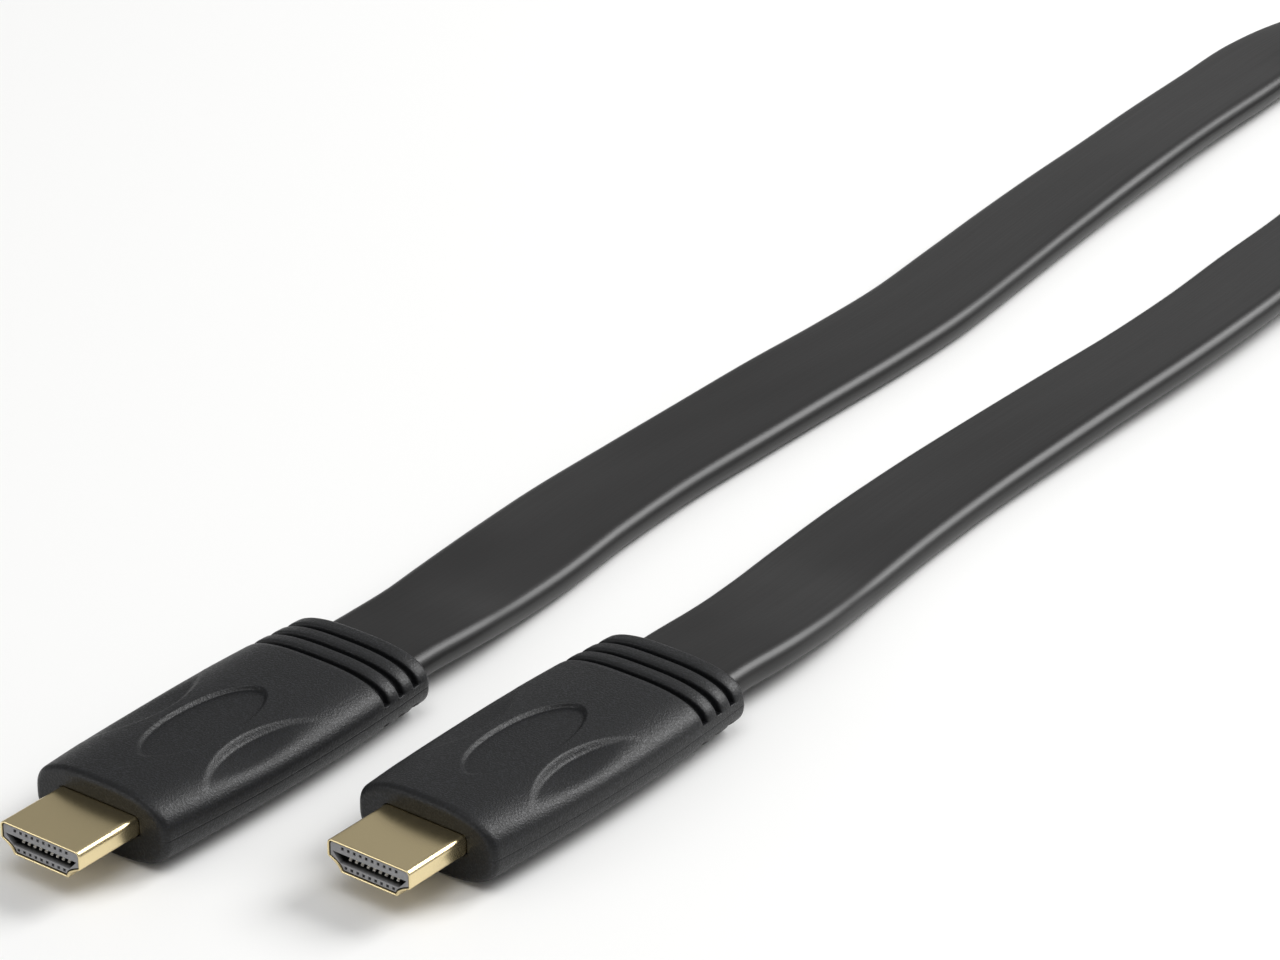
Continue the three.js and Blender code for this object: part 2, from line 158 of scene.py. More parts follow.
def addNode(tree, kind, settings=None, values=None, links=None):
    # one node with its settings, its sockets' values and its links
    node = tree.nodes.new(kind)
    for key, value in (settings or {}).items():
        setattr(node, key, value)
    for key, value in (values or {}).items():
        node.inputs[key].default_value = value
    for key, source in (links or {}).items():
        tree.links.new(source, node.inputs[key])
    return node


def startMaterial(name, values):
    material = bpy.data.materials.new(name)
    material.use_nodes = True
    tree = material.node_tree
    tree.nodes.clear()
    shader = addNode(tree, "ShaderNodeBsdfPrincipled", values=values)
    addNode(tree, "ShaderNodeOutputMaterial", links={"Surface": shader.outputs[0]})
    material.diffuse_color = values.get("Base Color", (0.5, 0.5, 0.5, 1))
    return material, tree, shader


def dress(piece, material):
    piece.data.materials.clear()
    piece.data.materials.append(material)


# The camera stands as the photograph was taken: from the front right and above, with a long lens.
# Angles are in degrees and distances in millimetres, from the first plug.
cameraPlace = {
    "azimuth": 37.50,
    "elevation": 27.59,
    "roll": -0.49,
    "aside": -70.12,
    "above": -43.57,
    "distance": 648.65,
    "lens": 140.625,
}
azimuth, elevation, roll = (math.radians(cameraPlace[k]) for k in ("azimuth", "elevation", "roll"))
back = np.array([
    math.sin(azimuth) * math.cos(elevation),
    -math.cos(azimuth) * math.cos(elevation),
    math.sin(elevation),
])
level = np.array([math.cos(azimuth), math.sin(azimuth), 0.0])
upright = np.cross(back, level)
right = math.cos(roll) * level + math.sin(roll) * upright
above = -math.sin(roll) * level + math.cos(roll) * upright
cameraSpot = -cameraPlace["aside"] * right - cameraPlace["above"] * above + cameraPlace["distance"] * back
cameraSpot = toRow(cameraSpot + [0, 0, plugLayout["axisHeight"]])
cameraData = bpy.data.cameras.new("camera")
cameraData.lens = cameraPlace["lens"]
cameraData.sensor_width = 36
cameraData.clip_start, cameraData.clip_end = 0.05, 50
camera = bpy.data.objects.new("camera", cameraData)
camera.matrix_world = Matrix([
    [right[0], above[0], back[0], cameraSpot[0]],
    [right[1], above[1], back[1], cameraSpot[1]],
    [right[2], above[2], back[2], cameraSpot[2]],
    [0, 0, 0, 1],
])
bpy.context.scene.collection.objects.link(camera)
bpy.context.scene.camera = camera
print("camera placed")


# The flat cord is one length, out of one plug, round the coil and back to the other plug
cordFacts = {
    "width": 18.0,
    "thickness": 4.3,
    "length": 1.5,
    "ringStep": 1.9,
    "edgeSides": 14,
    "faceSides": 14,
    "rearOfCover": 53.2,
    "endGap": 0.3,
    "straight": 6.0,
    "seatedIn": 2.0,
    "waveDepth": 0.035,
    "lowest": 0.01,
    "stepsPerPoint": 40,
}

# x, y, height of the middle, and roll in degrees; a positive roll lowers the right-hand edge
runARoute = np.array([
    [0.0, 68.0, 4.3, 2], [-0.8, 77.0, 3.8, 6], [-1.9, 90.0, 3.4, 8.5], [-3.6, 106.0, 2.9, 5.5],
    [-4.4, 123.0, 2.5, 2.5], [-4.2, 140.0, 2.5, 2.8], [-3.8, 158.0, 2.6, 3.4], [-3.4, 175.0, 2.5, 2.4],
    [-3.6, 192.0, 2.4, 1.2], [-5.1, 209.0, 2.3, 0.6], [-6.8, 227.0, 2.3, -0.8],
    [-8.0, 244.0, 2.5, -2.8], [-8.8, 261.0, 2.8, -5], [-9.8, 278.0, 2.8, -5], [-10.5, 296.0, 2.7, -4.4],
    [-11.0, 312.0, 2.8, -5], [-8.6, 327.0, 4.2, -16], [-2.9, 341.0, 6.4, -36], [5.4, 354.0, 8.1, -58],
    [14.0, 366.5, 8.9, -77], [20.6, 378.0, 9.1, -89], [24.2, 387.5, 9.1, -90],
])
runBRoute = np.array([
    [37.7, 90.0, 4.3, 1], [37.0, 100.0, 3.7, 2.5], [35.4, 112.0, 2.8, 3.4], [34.0, 129.0, 2.5, 1.8],
    [33.3, 147.0, 2.3, -0.5], [33.6, 165.0, 2.5, -2.6], [34.2, 183.0, 2.8, -4.8],
    [34.8, 201.0, 3.0, -6.8], [34.7, 219.0, 3.1, -7.6], [33.9, 236.0, 3.1, -7], [33.2, 254.0, 2.8, -5],
    [32.5, 271.0, 2.6, 3], [32.0, 287.0, 4.6, 20], [31.4, 302.0, 7.1, 44], [31.4, 317.0, 8.6, 68],
    [31.6, 332.0, 9.1, 84], [32.0, 346.0, 9.1, 90], [32.4, 357.0, 9.1, 90], [32.9, 366.2, 9.1, 90],
    [33.5, 383.0, 9.1, 90],
])

coilFacts = {
    "centre": (100.0, 400.0),
    "firstArmRadius": 72.7,
    "firstArmTurns": 1.05,
    "secondArmRadius": 65.7,
    "secondArmTurns": 0.55,
    "pitch": 14.0,
    "height": 9.1,
    "lift": 1.25,
    "liftReach": 15.0,
    "strapRadius": 65.4,
    "strapAngle": 172.0,
    "strapReach": 20.6,
    "strapFloor": 1.0,
    "strapCeiling": 19.6,
    "strapWidth": 12.0,
    "strapThickness": 0.95,
    "strapHold": 7.5,
    "strapTurns": (118, -322),
    "lapFrom": 318,
    "lapRun": 30,
    "lapGap": 0.08,
    "oblongBend": 0.25,
    "bandEdgeBend": 0.35,
    "bandFaceBend": 0.5,
    "firstArmPoints": 27,
    "secondArmPoints": 15,
    "foldPoints": 10,
}


def coilArm(startRadius, turns, count):
    # a flat spiral: it starts in the west, the angle falls evenly, and each turn is one pitch smaller
    turn = np.linspace(0, turns, count)
    angle = np.radians(180 - 360 * turn)
    radius = startRadius - coilFacts["pitch"] * turn
    return np.stack([radius * np.cos(angle), radius * np.sin(angle)], 1) + coilFacts["centre"]


def foldAcross(start, end, count):
    # an S of two half circles from one side of the coil's inside to the other
    start, end, middle = np.array(start), np.array(end), np.array(coilFacts["centre"])
    half = np.linspace(0, math.pi, count)[1:, None]
    side = np.array([[0, 1], [-1, 0]]) @ (start - middle)
    firstHalf = middle + (start - middle) / 2 * (1 + np.cos(half)) + side / 2 * np.sin(half)
    secondHalf = middle + (end - middle) / 2 * (1 - np.cos(half)) - side / 2 * np.sin(half)
    return np.vstack([firstHalf, secondHalf[:-1]])


def coilHeights(places):
    # on edge, the cord's middle is half its width up, and lift * exp(-(far / reach)^2) higher where
    # the strap passes under it
    facts = coilFacts
    angle = math.radians(facts["strapAngle"])
    strap = facts["centre"] + facts["strapRadius"] * np.array([math.cos(angle), math.sin(angle)])
    far = np.maximum(np.linalg.norm(places - strap, axis=1) - facts["strapHold"], 0)
    return facts["height"] + facts["lift"] * np.exp(-(far / facts["liftReach"]) ** 2)


def plugExits(second):
    # straight out of the cover's rear, starting a little inside it
    cover, straight = cordFacts["rearOfCover"], cordFacts["straight"]
    rear = cover + cordFacts["endGap"]
    reaches = [cover - cordFacts["seatedIn"], rear, rear + straight / 2, rear + straight]
    places = plugPlace(second)([[0, reach, 0] for reach in reaches])
    return np.column_stack([places, np.zeros(len(places))])


def wholeRoute():
    # the first plug's run, the coil inwards, the fold, the coil outwards and the second run backwards
    facts = coilFacts
    armA = coilArm(facts["firstArmRadius"], facts["firstArmTurns"], facts["firstArmPoints"])
    armB = coilArm(facts["secondArmRadius"], facts["secondArmTurns"], facts["secondArmPoints"])[::-1]
    fold = foldAcross(armA[-1], armB[0], facts["foldPoints"])
    coil = np.vstack([armA, fold, armB])
    coil = np.column_stack([coil, coilHeights(coil), np.full(len(coil), -90.0)])
    backwards = np.vstack([plugExits(True), runBRoute])[::-1] * [1, 1, 1, -1]
    return np.vstack([plugExits(False), runARoute, coil, backwards])


def curveThrough(points, shares):
    # the cubic through each pair of points whose end slopes are half the step between their neighbours
    held = np.vstack([2 * points[:1] - points[1:2], points, 2 * points[-1:] - points[-2:-1]])
    span = np.clip(np.floor(shares).astype(int), 0, len(points) - 2)
    t = (shares - span)[:, None]
    p0, p1, p2, p3 = held[span], held[span + 1], held[span + 2], held[span + 3]
    return 0.5 * (2 * p1 + (p2 - p0) * t + (2 * p0 - 5 * p1 + 4 * p2 - p3) * t ** 2
                  + (3 * p1 - p0 - 3 * p2 + p3) * t ** 3)


def cordSection():
    # a flat section with half-round edges, counted round from the right-hand edge
    halfFlat = (cordFacts["width"] - cordFacts["thickness"]) / 2
    radius = cordFacts["thickness"] / 2
    bend = np.linspace(-math.pi / 2, math.pi / 2, cordFacts["edgeSides"] + 1)
    rightEdge = np.stack([halfFlat + radius * np.cos(bend), radius * np.sin(bend)], 1)
    run = np.linspace(1, -1, cordFacts["faceSides"] + 1)[1:-1]
    top = np.stack([halfFlat * run, np.full(len(run), radius)], 1)
    return np.vstack([rightEdge, top, -rightEdge, -top])


def buildCord():
    # the section carried along the route, leaning by the roll; its faces swell by a small share of
    # sin(s/4.1 + u/2) sin(s/11.3 + 0.35u) + 0.6 sin(s/7.7 - 0.7u), s along the cord and u across it
    route = wholeRoute()
    fine = np.linspace(0, len(route) - 1, len(route) * cordFacts["stepsPerPoint"])
    line = curveThrough(route, fine)
    walked = np.concatenate([[0], np.cumsum(np.linalg.norm(np.diff(line[:, :3], axis=0), axis=1))])
    rings = int(round(walked[-1] / cordFacts["ringStep"]))
    along = np.linspace(0, walked[-1], rings + 1)
    line = curveThrough(route, np.interp(along, walked, fine))
    middle, lean = line[:, :3], np.radians(line[:, 3])[:, None]
    heading = np.gradient(middle, axis=0)
    heading /= np.linalg.norm(heading, axis=1, keepdims=True)
    level = np.cross(heading, [0, 0, 1])
    level /= np.linalg.norm(level, axis=1, keepdims=True)
    edgeway = level * np.cos(lean) + np.cross(heading, level) * np.sin(lean)
    faceway = np.cross(edgeway, heading)
    section = cordSection()
    s, u = along[:, None], section[None, :, 0]
    wave = np.sin(s / 4.1 + 0.5 * u) * np.sin(s / 11.3 + 0.35 * u) + 0.6 * np.sin(s / 7.7 - 0.7 * u)
    faceShare = smoothStep(0, 2.5, (cordFacts["width"] - cordFacts["thickness"]) / 2 + 0.8 - np.abs(u))
    thick = section[None, :, 1] * (1 + cordFacts["waveDepth"] * wave * faceShare / 2)
    points = middle[:, None] + edgeway[:, None] * u[..., None] + faceway[:, None] * thick[..., None]
    points[..., 2] = np.maximum(points[..., 2], cordFacts["lowest"])
    closed = np.vstack([section, section[:1]])
    ringWalk = np.concatenate([[0], np.cumsum(np.linalg.norm(np.diff(closed, axis=0), axis=1))])
    piece = surfaceMesh("flatCord", toRow(points), (along * mm, ringWalk * mm))
    return piece, toRow(middle), walked[-1] * mm


cordPiece, cordLine, cordLength = buildCord()
print("cord made, metres long:", round(cordLength, 3))


# The strap round the coil is one strip that goes round once and laps over itself on top
def buildStrap():
    # a band's section carried round a rounded oblong |x/a|^8 + |z/b|^8 = 1, its end one layer further out
    facts = coilFacts
    turn = np.radians(np.linspace(*facts["strapTurns"], 220))
    lapped = smoothStep(0, facts["lapRun"], np.degrees(turn[0] - turn) - facts["lapFrom"])
    layer = lapped * (facts["strapThickness"] + facts["lapGap"])
    halfReach = facts["strapReach"] / 2 + facts["strapThickness"] / 2
    halfHeight = (facts["strapCeiling"] - facts["strapFloor"]) / 2 + facts["strapThickness"] / 2
    x = bentWave(np.cos(turn), facts["oblongBend"]) * (halfReach + layer)
    z = bentWave(np.sin(turn), facts["oblongBend"]) * (halfHeight + layer)
    line = np.stack([x, z], 1)
    walked = np.concatenate([[0], np.cumsum(np.linalg.norm(np.diff(line, axis=0), axis=1))])
    along = np.linspace(0, walked[-1], 240)
    line = np.stack([np.interp(along, walked, line[:, k]) for k in range(2)], 1)
    heading = np.gradient(line, axis=0)
    heading /= np.linalg.norm(heading, axis=1, keepdims=True)
    outward = np.stack([-heading[:, 1], heading[:, 0]], 1)
    bend = np.linspace(0, 2 * math.pi, 40, endpoint=False)
    across = bentWave(np.cos(bend), facts["bandEdgeBend"]) * facts["strapWidth"] / 2
    thick = bentWave(np.sin(bend), facts["bandFaceBend"]) * facts["strapThickness"] / 2
    flat = line[:, None] + outward[:, None] * thick[None, :, None]
    middleZ = (facts["strapCeiling"] + facts["strapFloor"]) / 2
    ringX, ringZ = flat[..., 0] + facts["strapRadius"], flat[..., 1] + middleZ
    ringZ = np.maximum(ringZ, 0.02)
    angle = math.radians(facts["strapAngle"])
    outX, outY = math.cos(angle), math.sin(angle)
    px = facts["centre"][0] + ringX * outX - across[None, :] * outY
    py = facts["centre"][1] + ringX * outY + across[None, :] * outX
    ringWalk = np.append(across, across[0]) * mm
    return surfaceMesh("coilStrap", toRow(np.stack([px, py, ringZ], -1)), (along * mm, ringWalk))


strapPiece = buildStrap()
print("strap made")


# The plug's moulded cover
coverFacts = {
    "width": 23.1,
    "rearWidth": 24.0,
    "sideBow": 1.2,
    "height": 10.8,
    "rearHeight": 9.2,
    "length": 53.2,
    "roundness": 2.75,
    "edgeRound": 1.0,
    "grooveStarts": (42.85, 46.10, 49.35),
    "grooveWidth": 1.1,
    "grooveDepth": 1.1,
    "grooveLip": 0.35,
    "upperGrooveEnd": 1.2,
    "lowerGrooveEnd": -1.7,
    "recessCentre": 20.4,
    "recessLength": 23.0,
    "recessWidth": 9.6,
    "recessDepth": 0.55,
    "scallopCentre": 20.3,
    "scallopLength": 22.0,
    "scallopNearest": 6.3,
    "scallopBow": 3.5,
    "scallopDepth": 0.85,
    "scallopTilt": 0.126,
    "scallopWall": 0.95,
    "scallopBlend": 0.5,
    "partingDepth": 0.05,
    "pocketDepth": 3.2,
    "mouthDepth": 2.5,
    "finest": 0.16,
    "finer": 0.26,
    "coarse": 0.36,
    "rowStep": 0.5,
    "fineRows": (9.0, 34.2),
    "lastRow": 42.6,
    "grooveEdge": 0.06,
}

shellFacts = {
    "width": 13.9,
    "height": 4.45,
    "reach": 11.2,
    "wall": 0.3,
    "corner": 0.8,
    "sideHeight": 2.6,
    "footWidth": 9.6,
    "seat": 3.0,
    "lip": 0.14,
    "footSwell": 0.1,
    "leastBend": 0.2,
    "outlinePoints": 240,
    "rowsAlong": 26,
}


def shellOutline(inset):
    # round upper corners, upright sides, a hollow bend to a narrower foot; every side moved inward by inset
    f = shellFacts
    half, top = f["width"] / 2 - inset, f["height"] / 2 - inset
    bend = max(f["corner"] - inset, f["leastBend"])
    sideEnd = f["height"] / 2 - f["sideHeight"] + inset * 0.4
    foot = f["footWidth"] / 2 - inset
    t = np.linspace(0, 1, 120)[:, None]
    start, end = np.array([foot, -top]), np.array([half, sideEnd])
    pull = np.array([foot + f["footSwell"], (sideEnd - top) / 2])
    hollow = (1 - t) ** 2 * start + 2 * t * (1 - t) * pull + t ** 2 * end
    turn = np.linspace(0, math.pi / 2, 60)[:, None]
    corner = np.array([half - bend, top - bend]) + bend * np.hstack([np.cos(turn), np.sin(turn)])
    rightSide = np.vstack([hollow, corner])
    leftSide = rightSide[::-1] * [-1, 1]
    return evenAlong(np.vstack([rightSide, leftSide]), 1600)


def reachAt(outline, angles):
    # how far a closed outline round the axis lies from it, in given directions
    turned = np.arctan2(outline[:, 1], outline[:, 0])
    order = np.argsort(turned)
    return np.interp(angles, turned[order], np.hypot(*outline[order].T), period=2 * math.pi)


def coverColumns():
    # places round |x/a|^n + |z/b|^n = 1, closer on top, with extra ones at groove ends and the parting line
    f = coverFacts
    power = 2 / f["roundness"]
    turn = np.linspace(0, 2 * math.pi, 40001)
    x, z = bentWave(np.cos(turn), power), bentWave(np.sin(turn), power)
    step = np.hypot(np.diff(x) * f["width"] / 2, np.diff(z) * f["height"] / 2)
    midX, midZ = (x[1:] + x[:-1]) / 2, (z[1:] + z[:-1]) / 2
    level = np.abs(midX) < 0.97
    onTop, below = (midZ > 0.55) & level, (midZ < -0.55) & level
    spacing = np.where(onTop, f["finest"], np.where(below, f["finer"], f["coarse"]))
    weight = np.concatenate([[0], np.cumsum(step / spacing)])
    count = int(weight[-1])
    turns = np.interp(np.arange(count) / count * weight[-1], weight, turn)
    grooveHalf = coverHalves(f["grooveStarts"][1])[1]
    close = np.array([-0.14, -0.09, -0.03, 0.03, 0.09, 0.14])
    parting = [-0.2, -0.1, -0.04, 0.04, 0.1, 0.2]
    heights = np.concatenate([f["upperGrooveEnd"] + close, f["lowerGrooveEnd"] + close, parting])
    extra = np.arcsin(bentWave(heights / grooveHalf, 1 / power))
    turns = np.sort(np.concatenate([turns, extra % (2 * math.pi), (math.pi - extra) % (2 * math.pi)]))
    keep = np.diff(turns, prepend=turns[-1] - 2 * math.pi) > 1e-7
    turns = turns[keep]
    return bentWave(np.cos(turns), power), bentWave(np.sin(turns), power)


def coverRows():
    # places along the cover and how far its end roundings move the skin inward there
    f = coverFacts
    arc = np.linspace(0, math.pi / 2, 9)
    r = f["edgeRound"]
    front = np.stack([r - r * np.cos(arc), r - r * np.sin(arc)], 1)
    fineFrom, fineTo = f["fineRows"]
    body = [np.arange(r + f["rowStep"], fineFrom - 0.2, f["rowStep"])]
    body += [np.arange(fineFrom, fineTo, f["finest"] * 1.1)]
    body += [np.arange(fineTo + 0.4, f["lastRow"], f["rowStep"])]
    close = np.array([-0.22, -0.09, -0.05, -0.01, 0.03, 0.07, 0.2])
    for start in f["grooveStarts"]:
        body += [start + close, start + f["grooveWidth"] - close, [start + f["grooveWidth"] / 2]]
        body += [start + f["grooveWidth"] + np.array([0.7, 1.2, 1.7])]
    places = np.sort(np.concatenate(body))
    places = places[places < f["length"] - r - 0.2]
    middle = np.stack([places, np.zeros(len(places))], 1)
    rear = front[::-1] * [-1, 1] + [f["length"], 0]
    return np.vstack([front, middle, rear])


def coverHalves(y):
    # half the width, w0 + s (w1 - w0) + 4 bow s (1 - s), and half the height, h0 + s (h1 - h0), where
    # s is the share of the length walked from the front
    f = coverFacts
    s = np.clip(y / f["length"], 0, 1)
    wide = f["width"] / 2 + s * (f["rearWidth"] - f["width"]) / 2 + f["sideBow"] * 4 * s * (1 - s)
    return wide, f["height"] / 2 + s * (f["rearHeight"] - f["height"]) / 2


def coverSkin():
    # the outside of the cover: the rounded box x = (a - inset) cx, z = (b - inset) cz, where inset adds
    # up the grooves, the recess, the parting line and the end roundings; then the scallops sink z by
    # (over + sqrt(over^2 + blend^2)) / 2 within an arc, over being the height above their floor
    f = coverFacts
    cx, cz = coverColumns()
    y, edge = coverRows().T
    y, edge = y[:, None], edge[:, None]
    halfWidth, halfHeight = coverHalves(y)
    x, z = halfWidth * cx[None], halfHeight * cz[None]
    grooves = np.zeros(x.shape)
    for start in f["grooveStarts"]:
        end = start + f["grooveWidth"]
        rim, foot = f["grooveEdge"], 0.04
        wall = smoothStep(start - rim, start + foot, y) * (1 - smoothStep(end - foot, end + rim, y))
        lip = smoothStep(start - f["grooveLip"], start, y) * (1 - smoothStep(end, end + f["grooveLip"], y))
        grooves += 0.9 * wall + 0.1 * lip
    ends = smoothStep(-0.1, 0.08, z - f["upperGrooveEnd"]) + smoothStep(-0.1, 0.08, f["lowerGrooveEnd"] - z)
    ratio = np.hypot(x / (f["recessWidth"] / 2), (y - f["recessCentre"]) / (f["recessLength"] / 2)) + 1e-6
    inside = (1 - ratio) * np.hypot(x, y - f["recessCentre"]) / ratio
    recess = smoothStep(-0.1, 0.2, inside) * (z > 0)
    parting = np.exp(-(z / 0.07) ** 2) * (np.abs(cx[None]) > 0.5) * (1 - np.clip(grooves * ends, 0, 1))
    inset = edge + f["grooveDepth"] * grooves * ends + f["recessDepth"] * recess + f["partingDepth"] * parting
    x = (halfWidth - inset) * cx[None]
    z = (halfHeight - inset) * cz[None]
    wallRadius = ((f["scallopLength"] / 2) ** 2 + f["scallopBow"] ** 2) / (2 * f["scallopBow"])
    dishRadius = (f["scallopLength"] / 2) ** 2 / (2 * f["scallopDepth"])
    wideThere, highThere = coverHalves(f["scallopCentre"])
    crown = (1 - (f["scallopNearest"] / wideThere) ** f["roundness"]) ** (1 / f["roundness"])
    out, along = np.abs(x) - f["scallopNearest"], y - f["scallopCentre"]
    floor = highThere * crown - f["scallopDepth"] - f["scallopTilt"] * out + along ** 2 / (2 * dishRadius)
    within = wallRadius - np.hypot(out - wallRadius, along)
    over = np.abs(z) - floor
    sink = (over + np.sqrt(over ** 2 + f["scallopBlend"] ** 2)) / 2
    sink *= smoothStep(-0.1, f["scallopWall"], within)
    z = z - np.sign(z) * sink
    return np.stack([x, y + 0 * x, z], -1)


def coverPoints():
    # the skin with its two ends: inward over the front face to the shell's seat, and over the rear face
    # into the cord's mouth; every point of an end ring lies in the same direction from the axis
    f = coverFacts
    skin = coverSkin()
    frontRing, rearRing = skin[0], skin[-1]
    seat = shellOutline(-0.05)
    halfWide, halfHigh = cordFacts["width"] / 2 + 0.05, cordFacts["thickness"] / 2 + 0.05
    bend = np.linspace(-math.pi / 2, math.pi / 2, 200)
    edge = np.stack([halfWide - halfHigh + halfHigh * np.cos(bend), halfHigh * np.sin(bend)], 1)
    mouth = evenAlong(np.vstack([edge, -edge]), 1600)
    pieces = {}
    for name, ring, outline in (("front", frontRing, seat), ("rear", rearRing, mouth)):
        angles = np.arctan2(ring[:, 2], ring[:, 0])
        reach = reachAt(outline, angles)
        inner = np.stack([reach * np.cos(angles), reach * np.sin(angles)], 1)
        pieces[name] = (ring[:, [0, 2]], inner)

    def ringAt(name, share, y, grow=0.0):
        outer, inner = pieces[name]
        flat = outer + (inner * (1 + grow / np.linalg.norm(inner, axis=1, keepdims=True)) - outer) * share
        return np.stack([flat[:, 0], np.full(len(flat), y), flat[:, 1]], -1)

    frontRings = [ringAt("front", 1, f["pocketDepth"]), ringAt("front", 1, 1.0), ringAt("front", 1, 0.15),
                  ringAt("front", 1, 0.05, 0.02), ringAt("front", 1, 0.0, 0.12)]
    frontRings += [ringAt("front", share, 0.0) for share in (0.85, 0.6, 0.35, 0.12, 0.03)]
    rearY = f["length"]
    rearRings = [ringAt("rear", share, rearY) for share in (0.03, 0.12, 0.35, 0.6, 0.85)]
    rearRings += [ringAt("rear", 1, rearY, 0.25), ringAt("rear", 1, rearY - 0.07, 0.08)]
    rearRings += [ringAt("rear", 1, rearY - depth) for depth in (0.25, 1.0, f["mouthDepth"])]
    return np.concatenate([np.stack(frontRings), skin, np.stack(rearRings)])


def shellPoints():
    # the outline carried along the outside to the lip, round the lip and back along the inside
    f = shellFacts
    outside, inside = shellOutline(0), shellOutline(f["wall"])
    outside, inside = rolledSum(outside, 7), rolledSum(inside, 4)
    count = f["outlinePoints"]
    outside, inside = evenAlong(outside, count), evenAlong(inside, count)
    step = inside - outside
    bend = np.linspace(0, math.pi, 11)
    lip = f["lip"]
    lipStart = -f["reach"] + lip
    walk = np.linspace(f["seat"], lipStart + 0.1, f["rowsAlong"])
    profile = [(0.0, y) for y in walk]
    profile += [(0.5 - 0.5 * math.cos(t), lipStart - lip * math.sin(t)) for t in bend]
    profile += [(1.0, y) for y in walk[::-1]]
    profile += [(0.5, f["seat"] + 0.02)]
    rings = [np.stack([*(outside + step * share).T, np.full(count, y)], -1) for share, y in profile]
    return np.stack(rings)[..., [0, 2, 1]]


covers, shells = {}, {}
coverGrid, shellGrid = coverPoints(), shellPoints()
for letter, second in (("A", False), ("B", True)):
    place = plugPlace(second)
    covers[letter] = surfaceMesh("cover" + letter, toRow(place(coverGrid)))
    shells[letter] = surfaceMesh("shell" + letter, toRow(place(shellGrid)), closedAlong=True)
print("covers and shells made:", coverGrid.shape, shellGrid.shape)


# Moulded PVC with a spark-eroded grain: near black and satin, with fine specks that catch the light
# on the shoulders. Each speck is a little paler and smoother than the ground between.
coverLook = {
    "colour": "#0a0b0c",
    "speck": "#1c1d21",
    "roughness": 0.42,
    "groundRoughness": 0.47,
    "speckRoughness": 0.33,
    "specular": 0.33,
    "grain": 0.3,
    "grainDepth": 0.00007,
}
coverMaterial, tree, shader = startMaterial("mouldedPvcGrained", {
    "Base Color": linear(coverLook["colour"]),
    "Roughness": coverLook["roughness"],
    "Specular IOR Level": coverLook["specular"],
    "IOR": 1.53,
})
place = addNode(tree, "ShaderNodeTexCoord")
grain = addNode(tree, "ShaderNodeTexNoise",
                values={"Scale": 1 / (coverLook["grain"] * mm), "Detail": 3.0, "Roughness": 0.6},
                links={"Vector": place.outputs["Object"]})
specks = addNode(tree, "ShaderNodeMapRange", values={"From Min": 0.46, "From Max": 0.66},
                 links={"Value": grain.outputs["Fac"]})
tint = addNode(tree, "ShaderNodeMix", settings={"data_type": "RGBA"},
               values={"A": linear(coverLook["colour"]), "B": linear(coverLook["speck"])},
               links={"Factor": specks.outputs[0]})
tree.links.new(tint.outputs["Result"], shader.inputs["Base Color"])
shine = addNode(tree, "ShaderNodeMapRange",
                values={"To Min": coverLook["groundRoughness"], "To Max": coverLook["speckRoughness"]},
                links={"Value": specks.outputs[0]})
tree.links.new(shine.outputs[0], shader.inputs["Roughness"])
bump = addNode(tree, "ShaderNodeBump", values={"Strength": 1.0, "Distance": coverLook["grainDepth"]},
               links={"Height": grain.outputs["Fac"]})
tree.links.new(bump.outputs[0], shader.inputs["Normal"])

# Extruded PVC jacket: warm dark grey and satin, with faint lines drawn along its length by the die
# and fine pits between them
cordLook = {
    "colour": "#141313",
    "roughness": 0.40,
    "smoothest": 0.34,
    "roughest": 0.46,
    "specular": 0.4,
    "lineWidth": 0.35,
    "lineLength": 30.0,
    "pitsPerMetre": 2500.0,
    "lineDepth": 0.00002,
}
cordMaterial, tree, shader = startMaterial("extrudedPvcSatin", {
    "Base Color": linear(cordLook["colour"]),
    "Specular IOR Level": cordLook["specular"],
    "Roughness": cordLook["roughness"],
    "IOR": 1.53,
})
flow = addNode(tree, "ShaderNodeUVMap", settings={"uv_map": "flow"})
lineScale = (1 / (cordLook["lineLength"] * mm), 1 / (cordLook["lineWidth"] * mm), 1)
stretched = addNode(tree, "ShaderNodeMapping", values={"Scale": lineScale},
                    links={"Vector": flow.outputs[0]})
lines = addNode(tree, "ShaderNodeTexNoise", values={"Scale": 1.0, "Detail": 2.0},
                links={"Vector": stretched.outputs[0]})
place = addNode(tree, "ShaderNodeTexCoord")
pits = addNode(tree, "ShaderNodeTexNoise", values={"Scale": cordLook["pitsPerMetre"], "Detail": 2.0},
               links={"Vector": place.outputs["Object"]})
both = addNode(tree, "ShaderNodeMath", settings={"operation": "ADD"},
               links={0: lines.outputs["Fac"], 1: pits.outputs["Fac"]})
bump = addNode(tree, "ShaderNodeBump", values={"Strength": 0.35, "Distance": cordLook["lineDepth"]},
               links={"Height": both.outputs[0]})
tree.links.new(bump.outputs[0], shader.inputs["Normal"])
shine = addNode(tree, "ShaderNodeMapRange",
                values={"To Min": cordLook["smoothest"], "To Max": cordLook["roughest"]},
                links={"Value": lines.outputs["Fac"]})
tree.links.new(shine.outputs[0], shader.inputs["Roughness"])

